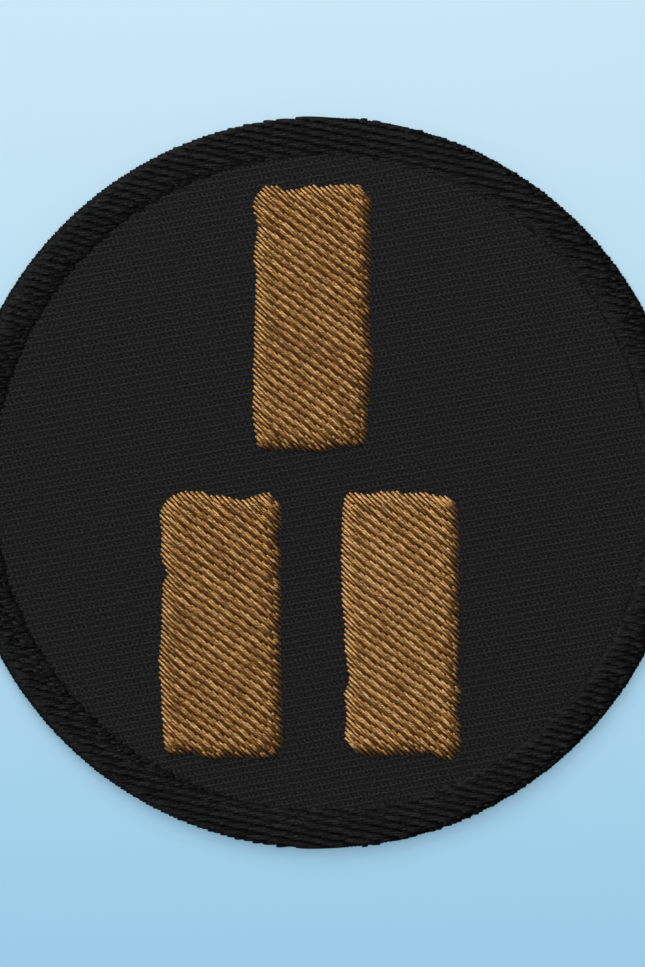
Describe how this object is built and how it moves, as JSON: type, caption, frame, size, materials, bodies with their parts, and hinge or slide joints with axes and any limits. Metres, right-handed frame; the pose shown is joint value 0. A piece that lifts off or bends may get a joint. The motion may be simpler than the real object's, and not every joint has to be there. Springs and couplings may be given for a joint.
{
  "type": "embroidered clothing patch",
  "caption": "Round black twill patch with a raised stitched border and upright gold fill-stitched bars, flat on its back, to sew or fuse onto clothing.",
  "frame": {"origin": "middle of the patch on the plane of its back, where it rests", "axes": "+Z out of the embroidered front, +Y up the motif towards its single upper bar, +X to the right seen from the front"},
  "size_m": [0.0762, 0.0762, 0.0024],
  "materials": {
    "black_twill": "matt woven polyester twill",
    "black_thread": "black embroidery thread, soft sheen",
    "gold_thread": "old gold embroidery thread, soft sheen"
  },
  "bodies": {
    "root": {"twill_ground": "black_twill", "stitched_border": "black_thread", "upper_bar": "gold_thread", "lower_left_bar": "gold_thread", "lower_right_bar": "gold_thread"}
  },
  "joints": []
}
